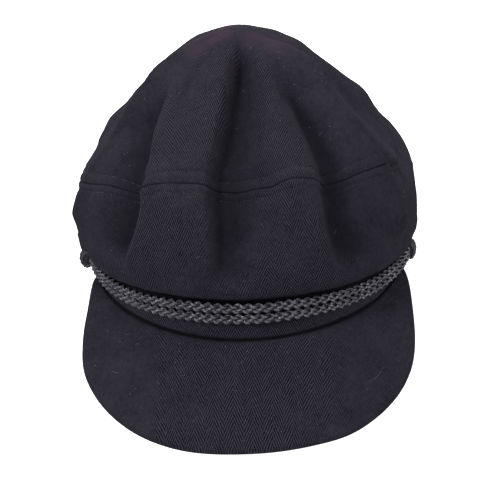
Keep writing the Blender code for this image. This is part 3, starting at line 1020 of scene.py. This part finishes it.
def mark(piece, name, shares):
    """Keeps a number for each point of a piece, for its material."""
    layer = piece.data.attributes.new(name, "FLOAT", "POINT")
    values = np.zeros(len(piece.data.vertices), dtype=np.float32)
    values[:shares.size] = shares.ravel()
    layer.data.foreach_set("value", values)


def mark_wall(piece, name, shares):
    """Keeps the same numbers on the outside and the inside of a wall."""
    mark(piece, name, np.stack([shares, shares]))


def mark_crown(piece, angles, stations):
    """Marks painted shade where crown cloth lies deep in a crease and under its lip, where its weave is
    painted faint, and a painted sheen over its top.
    """
    # hollow is painted shade, darker where a crease sinks deep and under the lip
    hollow = np.clip(-crease_height(angles, stations) / PAINTED_SHADE_DEPTH, 0, 1)
    under_lip = PAINTED_JOINT_SHADE * smooth_step((0.7 * LIP_STATION - stations) / 0.008)
    mark_wall(piece, "hollow", np.maximum(hollow, under_lip))
    # The weave is painted faint where light does not rake across it, and in the painted shade of creases
    mark_wall(piece, "plain", 1 - (1 - side_share(angles)) * (1 - 0.8 * hollow))
    # A painted sheen over the crown's top
    mark_wall(piece, "faded", smooth_step((stations - TOP_SHEEN_FROM) / 0.15))


def side_share(angles):
    """1 at the sides of the cap, where the weave is painted faintest as light does not rake across it, and 0
    at its front and back.
    """
    from_front = wrapped(angles)
    start = np.where(from_front < 0, FLAT_LIGHT_LEFT_FROM, FLAT_LIGHT_RIGHT_FROM)
    past_start = smooth_step((np.abs(from_front) - start) / FLAT_LIGHT_FADE)
    return past_start * smooth_step((FLAT_LIGHT_TO - np.abs(from_front)) / FLAT_LIGHT_FADE)


def crown_angles():
    return np.arange(CROWN_COLUMNS) * 360 / CROWN_COLUMNS


def make_crown_side(material):
    seam = seam_station(crown_angles())
    lip = np.linspace(0, LIP_STATION, 12)[:-1, None] + 0 * seam
    stations = np.concatenate([lip, crown_rows(seam, LIP_STATION)[::-1]])
    angles, outside, inside = crown_grid(stations)
    uv = np.stack([np.radians(wrapped(angles)) * CROWN_MEAN_RADIUS, stations * PROFILE_LENGTH], axis=-1)
    piece = add_wall("crown_side_cloth", outside, inside, uv, material)
    mark_crown(piece, angles, stations)
    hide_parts("crown_side")
    return piece


def make_seam_allowance(material):
    """The edges of both crown panels, turned inside and pressed flat behind the seam."""
    shares = np.linspace(-1, 1, 9)[:, None]
    seam = seam_station(crown_angles())
    angles = np.broadcast_to(crown_angles(), (len(shares), CROWN_COLUMNS))
    stations = seam + shares * ALLOWANCE_REACH / PROFILE_LENGTH
    normal = outward(crown_folded, angles, stations)
    outside = crown_folded(angles, stations) - normal * (CROWN_WALL + ALLOWANCE_GAP)
    uv = np.stack([np.radians(angles) * CROWN_MEAN_RADIUS, 0 * angles + shares * ALLOWANCE_REACH], axis=-1)
    return add_wall("seam_allowance", outside, outside - normal * ALLOWANCE_WALL, uv, material)


def make_crown_top(material):
    stations = crown_rows(seam_station(crown_angles()), APEX_STATION)
    angles, outside, inside = crown_grid(stations)
    radius = (1 - stations) * PROFILE_LENGTH * TOP_CLOTH_SPREAD
    turn = np.radians(angles)
    uv = np.stack([radius * np.sin(turn), -radius * np.cos(turn) * TOP_CLOTH_STRETCH], axis=-1)
    ring = outside[-1].mean(axis=0)
    poles = np.array([ring + [0, 0, 0.00015], ring - [0, 0, CROWN_WALL]])
    piece = add_wall("crown_top_cloth", outside, inside, uv, material, poles=poles)
    mark_crown(piece, angles, stations)
    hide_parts("crown_top")
    return piece


def make_band(material):
    """The band: rounded at its upper and lower edges, and flattened where it rests at the back."""
    angle = np.arange(BAND_COLUMNS) * 360 / BAND_COLUMNS
    from_front = wrapped(angle)
    turn = np.radians(angle)
    levels = [(-0.0006, 0.0), (-0.0001, 0.0003), (0.0, 0.0010)]
    levels += [(0.0, height) for height in np.linspace(0.0016, 0.0046, 6)]
    levels += [(0.0, height) for height in np.linspace(0.0064, BAND_HEIGHT - 0.0015, 12)]
    levels += [(0.0, BAND_HEIGHT - 0.0010), (-0.0003, BAND_HEIGHT - 0.0003), (-0.0010, BAND_HEIGHT)]
    outside = []
    inside = []
    for out, height in levels:
        for rows, reach in ((outside, out), (inside, -BAND_WALL - out)):
            x = (BAND_HALF_WIDTH + reach) * np.sin(turn)
            y = -(BAND_HALF_LENGTH + reach) * np.cos(turn)
            lower = front_dip(from_front) * (1 - smooth_step(height / 0.012))
            rows.append(np.stack([x, y, np.maximum(height - lower, floor_height(y) + height)], axis=-1))
    outside = np.array(outside)
    inside = np.array(inside)
    away = band_outward(angle)
    body = smooth_step((outside[..., 2] - 0.001) / 0.004)[..., None]
    outside = outside + away * body * uneven(outside, BAND_RIPPLES)[..., None]
    heights = np.array([height for _, height in levels])
    along = np.broadcast_to(np.radians(from_front) * CROWN_MEAN_RADIUS, outside.shape[:2])
    uv = np.stack([along, np.broadcast_to(heights[:, None], outside.shape[:2])], axis=-1)
    piece = add_wall("band_cloth", outside, inside, uv, material)
    # Painted shade on the band: in the groove above the peak and under the crown's hem
    seat = PEAK_SEAT - front_dip(from_front)
    joint = smooth_step((seat + PEAK_GROOVE_RISE - outside[..., 2]) / (0.6 * PEAK_GROOVE_WIDTH))
    under_hem = smooth_step((outside[..., 2] - braid_height(from_front) - HEM_SHADE_RISE) / 0.0010)
    mark_wall(piece, "hollow", PAINTED_JOINT_SHADE * np.maximum(joint, under_hem))
    # The weave painted faint at the band's sides, where light does not rake across it
    mark_wall(piece, "plain", side_share(np.broadcast_to(angle, outside.shape[:2])))
    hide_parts("band")
    return piece


def make_peak(material):
    """The peak: a thin curved board in cloth, with a rounded, turned edge."""
    end_share = 1 - 0.35 * PEAK_WALL / PEAK_REACH
    across = np.linspace(-1, 1, PEAK_COLUMNS + 1)
    out = np.linspace(0, 1, PEAK_ROWS + 1)
    out = np.concatenate([out[out < end_share - 0.01], np.linspace(end_share, 1, 8)])
    across, out = np.meshgrid(across, out)
    middle, length = peak_layer(across, out)
    past = np.clip((out - end_share) / (1 - end_share), 0, 1)
    half = PEAK_WALL / 2 * np.sqrt(np.maximum(1 - past**2, 0))
    dents = smooth_step(out / 0.2) * smooth_step((1 - out) / 0.1) * uneven(middle, PEAK_DENTS)
    fine = uneven(middle, PEAK_RIPPLES)
    past_band = out * length - PEAK_TUCK
    groove = -PEAK_GROOVE * np.exp(-((past_band / PEAK_GROOVE_WIDTH) ** 2))
    upper = middle + (half + dents + fine + groove)[..., None] * UP
    under = middle - half[..., None] * UP
    under[..., 2] = np.maximum(under[..., 2], floor_height(under[..., 1]))
    upper[..., 2] = np.maximum(upper[..., 2], under[..., 2])
    uv = np.stack([middle[..., 0], middle[..., 1] * PEAK_CLOTH_STRETCH], axis=-1)
    piece = add_wall("peak_cloth", upper, under, uv, material, wraps=False)
    # Painted shadow in the groove where the peak meets the band
    mark_wall(piece, "hollow", PAINTED_JOINT_SHADE * np.exp(-((past_band / (0.8 * PEAK_GROOVE_WIDTH)) ** 2)))
    # The weave painted faint towards the peak's sides, where light does not rake across it
    mark_wall(piece, "plain", smooth_step((np.abs(middle[..., 0]) - PEAK_FLAT_LIGHT_FROM) / PEAK_FLAT_LIGHT_FADE))
    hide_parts("peak")
    return piece


def plait(line, narrow, away):
    """Strands of a flat plait along a line, each over one and under the next, and how much painted highlight
    each point gets.
    """
    turns = run_along(line) / BRAID_PERIOD
    half_strand = BRAID_WIDTH / BRAID_STRANDS * STRAND_FILL
    reach = BRAID_WIDTH / 2 - half_strand
    wide = half_strand * (0.55 + 0.45 * narrow)
    outward_share = np.clip(np.sin(np.radians(np.arange(STRAND_SIDES) * 360 / STRAND_SIDES)), 0, 1) ** 3
    tubes = []
    shares = []
    for strand in range(BRAID_STRANDS):
        turn = 2 * math.pi * (turns + strand / BRAID_STRANDS)
        swing = np.arcsin(SWING_SHARPNESS * np.cos(turn)) / math.asin(SWING_SHARPNESS)
        lift = 0.25 * np.sin((BRAID_STRANDS - 1) * turn) - 0.20 * np.abs(swing) ** 5 + 0.03
        path = line + UP * (swing * reach * narrow)[:, None] + away * (lift * BRAID_THICKNESS)[:, None]
        tubes.append(tube(path, away, wide, wide * STRAND_FLATNESS, STRAND_SIDES))
        # Painted highlight: lighter where a strand rides highest, on its outward side
        shares.append(np.outer(smooth_step(lift / 0.26), outward_share))
    return tubes, np.concatenate(shares)


def make_braid(name, node, side, material):
    end = braid_end_turn()
    count = int(math.radians(2 * end) * CROWN_MEAN_RADIUS / BRAID_STEP)
    angle = np.linspace(-end, end, count)
    line, narrow = braid_line(angle, side)
    tubes, rubbed = plait(line, narrow, band_outward(angle))
    piece = join_tubes(name, tubes, material)
    mark(piece, "rubbed", rubbed)
    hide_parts(node)
    return piece


def make_knot(knot, material, core_material):
    """A knot: plaited strands wound three times round a small core that stands out from the band."""
    node = "knot_" + knot.side
    away = band_outward(np.array(knot.angle, float))
    along = np.cross(UP, away)
    x = BAND_HALF_WIDTH * math.sin(math.radians(knot.angle))
    y = -BAND_HALF_LENGTH * math.cos(math.radians(knot.angle))
    seat = np.array([x, y, float(braid_height(knot.angle)) - knot.sag])
    middle = seat + away * (CLEARANCE + KNOT_LIFT + knot.reach)
    tubes = []
    for place in (-1, 0, 1):
        size = 1.0 if place == 0 else KNOT_END_SIZE
        centre = middle + along * place * KNOT_COIL_STEP
        tubes += coil_tubes(centre, away * knot.reach * size, UP * KNOT_COIL_HEIGHT * size, along)
    coils = join_tubes(node + "_coils", tubes, material, closed=True)
    out_way = away * (knot.reach - KNOT_CORE_INSET)
    core = make_core(node + "_coils_core", middle, out_way, along * KNOT_COIL_STEP * 1.5, core_material)
    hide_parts(node)
    return [coils, core]


def coil_tubes(centre, out_way, up_way, along):
    """Two strands twisted round each other along an oval ring."""
    around_ring = np.linspace(0, 2 * math.pi, 90, endpoint=False)
    ring = centre + np.outer(np.cos(around_ring), out_way) + np.outer(np.sin(around_ring), up_way)
    radial = unit(ring - centre)
    tubes = []
    for phase in (around_ring * 6, around_ring * 6 + math.pi):
        path = ring + radial * (np.cos(phase) * 0.00045)[:, None] + along * (np.sin(phase) * 0.00055)[:, None]
        tubes.append(tube(path, along, KNOT_STRAND, KNOT_STRAND, STRAND_SIDES, closed=True))
    return tubes


def make_core(name, middle, out_way, along_way, material):
    """The rounded core inside a knot's coils."""
    rings = []
    turn = np.linspace(0, 2 * math.pi, 28, endpoint=False)
    up_way = UP * (KNOT_COIL_HEIGHT - 0.0004)
    for share in np.linspace(-0.98, 0.98, 13):
        size = math.sqrt(1 - share**2) ** 0.6
        oval = np.outer(np.cos(turn) * size, out_way) + np.outer(np.sin(turn) * size, up_way)
        rings.append(middle + along_way * share + oval)
    return join_tubes(name, [np.array(rings)], material)


def along_line(at, run, line):
    """Points at the asked distances along a line."""
    return np.stack([np.interp(at, run, line[:, k]) for k in range(3)], axis=-1)


def stitch_tubes(points, normals):
    """Short raised stitches along a line of points."""
    run = run_along(points)
    size = STITCH_RADIUS * np.array([0.6, 1.0, 1.1, 1.0, 0.6])
    random = np.random.default_rng(23)
    tubes = []
    for start in np.arange(0, run[-1] - STITCH_PITCH, STITCH_PITCH):
        at = start + STITCH_LENGTH * np.array([0.0, 0.15, 0.5, 0.85, 1.0])
        away = unit(along_line(at, run, normals))
        rise = STITCH_RADIUS * (np.array([-1.2, 0.2, 0.5, 0.2, -1.2]) - random.uniform(0, 1.3))
        path = along_line(at, run, points) + away * rise[:, None]
        tubes.append(tube(path, away, size, size, 6))
    return tubes


def make_crown_stitches(name, offset, material):
    """A row of stitches round the crown, beside its seam."""
    angles = np.arange(0, 360, 0.25)
    points, normals = crown_surface(angles, seam_station(angles) + offset / PROFILE_LENGTH)
    return join_tubes(name, stitch_tubes(points, normals), material)


def make_lint(material):
    """Specks and short hairs caught in the cloth, and the long hairs on the peak."""
    random = np.random.default_rng(17)
    off_peak = np.array([0.0, -0.5, 0.87])
    tubes = []
    for _ in range(LINT_ON_CROWN):
        angle = random.uniform(-180, 180)
        station = random.uniform(0.08, 0.95)
        if abs(station - SEAM_STATION) < LINT_OFF_SEAM:
            continue
        point, normal = crown_surface(np.array([angle]), np.array([station]))
        tubes.append(lint_hair(point[0], normal[0], random))
    for _ in range(LINT_ON_PEAK):
        across = random.uniform(-0.8, 0.8)
        out = random.uniform(0.1, 0.95)
        point, _ = peak_layer(np.array([across]), np.array([out]))
        tubes.append(lint_hair(point[0] + UP * PEAK_WALL / 2, off_peak, random))
    for across, out in LONG_HAIRS:
        share = np.linspace(0, 1, 13)
        sway = 0.012 * np.sin(np.pi * share)
        path, _ = peak_layer(np.interp(share, (0, 1), across), np.interp(share, (0, 1), out) + sway)
        tubes.append(hair_tube(path + UP * (PEAK_WALL / 2 + 0.00045), off_peak, LONG_HAIR_RADIUS))
    return join_tubes("lint", tubes, material)


def lint_hair(point, normal, random):
    """One short curled fibre, or a speck where it is very short."""
    length = random.choice(LINT_LENGTHS)
    direction = unit(np.cross(normal, random.normal(size=3)))
    bend = np.cross(normal, direction) * random.uniform(-0.5, 0.5)
    share = np.linspace(-0.5, 0.5, 7)
    curl = np.outer(share * length, direction) + np.outer(share**2 * length * 2, bend)
    path = point + normal * 0.00022 + curl
    return hair_tube(path, normal, SPECK_RADIUS if length < SPECK_LENGTH else HAIR_RADIUS)


def hair_tube(path, normal, radius):
    """A thin tube along a path, with pointed ends."""
    size = radius * (1 - 3.2 * np.linspace(-0.5, 0.5, len(path)) ** 2)
    return tube(path, normal, size, size, 5)


# The room


def make_floor():
    """A pale floor that shines a little by itself, and doesn't light the cap from below."""
    size = 6.0
    mesh = bpy.data.meshes.new("floor")
    corners = [(-size, -size, 0), (size, -size, 0), (size, size, 0), (-size, size, 0)]
    mesh.from_pydata(corners, [], [(0, 1, 2, 3)])
    nodes = matt_nodes("white_floor", 40.0, FLOOR_DARK, FLOOR_LIGHT)
    nodes.surface("Emission Color", WHITE)
    nodes.surface("Emission Strength", 1.0)
    mesh.materials.append(nodes.material)
    floor = add_object("floor", mesh)
    floor.visible_diffuse = False
    floor.visible_glossy = False


def look_along(away):
    """A turn whose local Z points along a direction, with its X level."""
    z = unit(away)
    x = unit(np.cross(UP, z))
    return Matrix(np.stack([x, np.cross(z, x), z], axis=-1).tolist())


def make_lights():
    for name, place, size, power in LIGHTS:
        light = bpy.data.lights.new(name, "AREA")
        light.size = size
        light.energy = power
        lamp = add_object(name, light)
        lamp.location = place
        lamp.rotation_euler = look_along(np.array(place) - LIGHT_TARGET).to_euler()
    world = bpy.data.worlds.new("studio")
    world.use_nodes = True
    background = world.node_tree.nodes["Background"]
    background.inputs["Color"].default_value = WHITE
    background.inputs["Strength"].default_value = WORLD_STRENGTH
    bpy.context.scene.world = world
    bpy.context.scene.view_settings.view_transform = "Standard"


def make_camera():
    """The photograph's view, given in the band's frame."""
    elevation = math.radians(VIEW_ELEVATION)
    turn = math.radians(VIEW_TURN)
    roll = math.radians(VIEW_ROLL)
    right = np.array([math.cos(turn), math.sin(turn), 0])
    back = np.array([-math.sin(turn), math.cos(turn), 0])
    up = back * math.sin(elevation) + UP * math.cos(elevation)
    toward = -back * math.cos(elevation) + UP * math.sin(elevation)
    rolled_right = right * math.cos(roll) - up * math.sin(roll)
    rolled_up = right * math.sin(roll) + up * math.cos(roll)
    axes = np.stack([stand.aim(rolled_right), stand.aim(rolled_up), stand.aim(toward)], axis=-1)
    camera = bpy.data.cameras.new("camera")
    camera.sensor_width = 36.0
    camera.lens = camera.sensor_width * FOCAL_PIXELS / PICTURE_PIXELS
    off = (PRINCIPAL_PIXEL - PICTURE_PIXELS / 2) / PICTURE_PIXELS
    camera.shift_x = -off
    camera.shift_y = off
    viewer = add_object("camera", camera)
    matrix = Matrix(axes.tolist()).to_4x4()
    matrix.translation = stand.place(toward * VIEW_DISTANCE)
    viewer.matrix_world = matrix
    bpy.context.scene.camera = viewer


def make_cap():
    twill = herringbone("herringbone_cloth")
    yarn = yarn_material("braid_yarn", YARN_DARK, YARN_LIGHT, 4, 0.0300, 0.36)
    thread = yarn_material("stitch_thread", THREAD_DARK, THREAD_LIGHT, 2, 0.0008, 0.8)
    fluff = matt_nodes("lint", 500.0, LINT_DARK, LINT_LIGHT).material
    cloth_pieces = [
        make_crown_side(twill),
        make_crown_top(twill),
        make_band(twill),
        make_peak(twill),
        make_seam_allowance(twill),
        make_crown_stitches("stitches_above_seam", STITCH_RISE, thread),
        make_crown_stitches("stitches_below_seam", -STITCH_FALL, thread),
        make_lint(fluff),
    ]
    braid_pieces = [
        make_braid("braid_upper_plait", "braid_upper", 1, yarn),
        make_braid("braid_lower_plait", "braid_lower", -1, yarn),
    ]
    for knot in KNOTS:
        braid_pieces += make_knot(knot, yarn, thread)
    for piece in cloth_pieces:
        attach(piece, "root")
    for piece in braid_pieces:
        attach(piece, "root")


stand = Stand()
make_camera()
make_cap()
make_floor()
make_lights()
